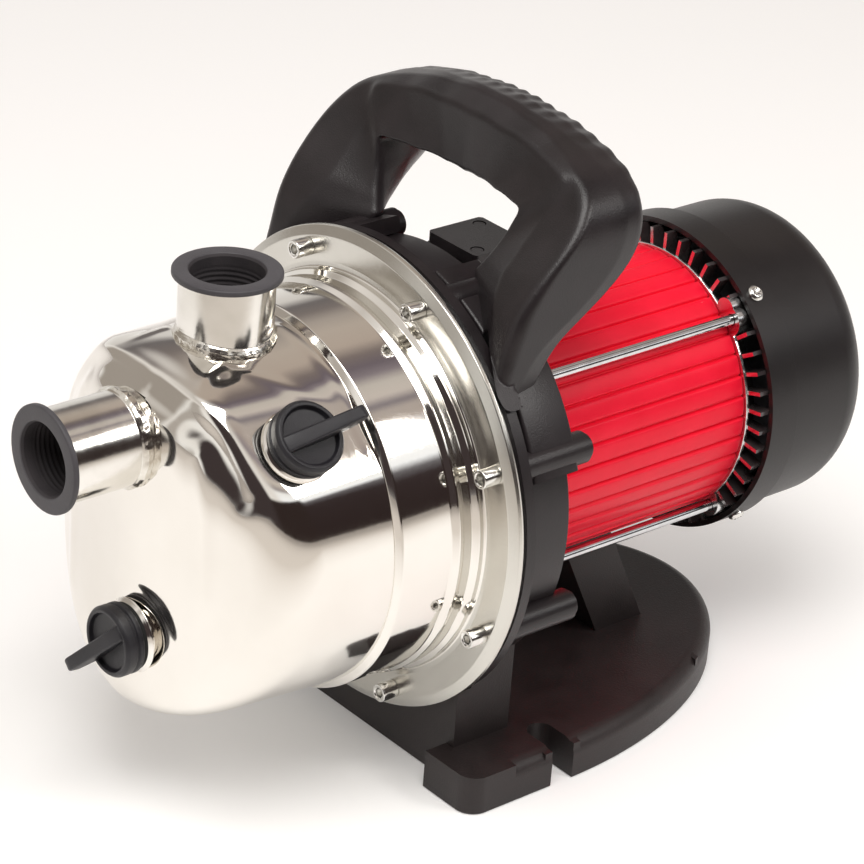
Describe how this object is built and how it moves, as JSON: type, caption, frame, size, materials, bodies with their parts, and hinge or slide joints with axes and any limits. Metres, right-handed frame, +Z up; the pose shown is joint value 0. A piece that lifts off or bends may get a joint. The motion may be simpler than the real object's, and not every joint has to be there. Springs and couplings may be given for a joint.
{
  "type": "centrifugal water pump",
  "caption": "Self-priming jet pump: polished casing with two threaded ports and winged plugs, carrying handle, D-shaped foot, finned motor and fan cover.",
  "frame": {"origin": "centre of the two foot slots on the underside of the foot, below the shaft axis", "axes": "+X along the shaft from the pump casing to the motor, +Z up; the fill plug is on the -Y side"},
  "size_m": [0.4119, 0.2154, 0.2868],
  "materials": {
    "stainless": "polished stainless sheet",
    "bright_screw": "bright plated steel",
    "body_plastic": "satin black moulding",
    "port_plastic": "satin black moulding",
    "red_paint": "red powder coat",
    "cast_aluminium": "die cast",
    "cover_black": "black stove enamel",
    "rubber": "black rubber",
    "steel": "ground steel",
    "laminations": "stacked sheet",
    "copper": "enamelled copper",
    "hydraulic_plastic": "glass-filled plastic",
    "seal_face": "carbon and ceramic",
    "inner_plastic": "moulded plastic"
  },
  "bodies": {
    "pump": {"cable_gland": "port_plastic", "capacitor": "inner_plastic", "carrying_handle": "body_plastic", "casing_o_ring": "rubber", "diffuser": "hydraulic_plastic", "drain_boss": "stainless", "fan_cover": "cover_black", "fan_cover_screws": "bright_screw", "fill_boss": "stainless", "flange_screws": "bright_screw", "foot_screws": "bright_screw", "front_bearing_outer": "steel", "front_shield": "cast_aluminium", "handle_screws": "bright_screw", "inlet_insert": "port_plastic", "inlet_socket": "stainless", "jet_nozzle": "hydraulic_plastic", "lid_screws": "bright_screw", "motor_bracket": "body_plastic", "motor_housing": "red_paint", "outlet_insert": "port_plastic", "outlet_socket": "stainless", "pump_casing": "stainless", "pump_foot": "body_plastic", "rear_bearing_outer": "steel", "rear_shield": "cast_aluminium", "seal_plate": "steel", "seal_seat": "seal_face", "shield_screws": "bright_screw", "stator_core": "laminations", "stator_windings": "copper", "suction_body": "hydraulic_plastic", "terminal_block": "inner_plastic", "terminal_box": "body_plastic", "terminal_lid": "body_plastic", "tie_rods": "bright_screw", "venturi_tube": "hydraulic_plastic", "wave_spring": "steel"},
    "rotor": {"motor_shaft": "steel", "rotor_core": "laminations", "impeller": "hydraulic_plastic", "impeller_nut": "bright_screw", "seal_rotary": "seal_face", "water_slinger": "rubber", "cooling_fan": "inner_plastic", "fan_clip": "steel", "front_bearing_inner": "steel", "rear_bearing_inner": "steel"},
    "front_cage": {"front_bearing_cage": "steel"},
    "rear_cage": {"rear_bearing_cage": "steel"},
    "fill_seal": {"fill_plug_gasket": "rubber"},
    "fill_cap": {"fill_plug": "port_plastic"},
    "drain_seal": {"drain_plug_gasket": "rubber"},
    "drain_cap": {"drain_plug": "port_plastic"}
  },
  "joints": [
    {"name": "shaft_spin", "type": "hinge", "parent": "pump", "child": "rotor", "pos_m": [0, 0, 0.125], "axis": [1, 0, 0], "continuous": true},
    {"name": "front_cage_spin", "type": "hinge", "parent": "pump", "child": "front_cage", "pos_m": [0, 0, 0.125], "axis": [1, 0, 0], "continuous": true},
    {"name": "rear_cage_spin", "type": "hinge", "parent": "pump", "child": "rear_cage", "pos_m": [0.08, 0, 0.125], "axis": [1, 0, 0], "continuous": true},
    {"name": "fill_plug_lift", "type": "slide", "parent": "pump", "child": "fill_seal", "axis": [0, -0.7071, 0.7071], "range_m": [0, 0.0101]},
    {"name": "fill_plug_turn", "type": "hinge", "parent": "fill_seal", "child": "fill_cap", "pos_m": [-0.1265, -0.05586, 0.18086], "axis": [0, -0.7071, 0.7071], "range_deg": [0, 1440]},
    {"name": "drain_plug_lift", "type": "slide", "parent": "pump", "child": "drain_seal", "axis": [-1, 0, 0], "range_m": [0, 0.0101]},
    {"name": "drain_plug_turn", "type": "hinge", "parent": "drain_seal", "child": "drain_cap", "pos_m": [-0.1715, -0.011, 0.087], "axis": [-1, 0, 0], "range_deg": [0, 1440]}
  ],
  "couplings": [
    {"joint": "front_cage_spin", "follows": "shaft_spin", "ratio": 0.43},
    {"joint": "rear_cage_spin", "follows": "shaft_spin", "ratio": 0.43},
    {"joint": "fill_plug_lift", "follows": "fill_plug_turn", "m_per_rad": 0.00039789},
    {"joint": "drain_plug_lift", "follows": "drain_plug_turn", "m_per_rad": 0.00039789}
  ]
}
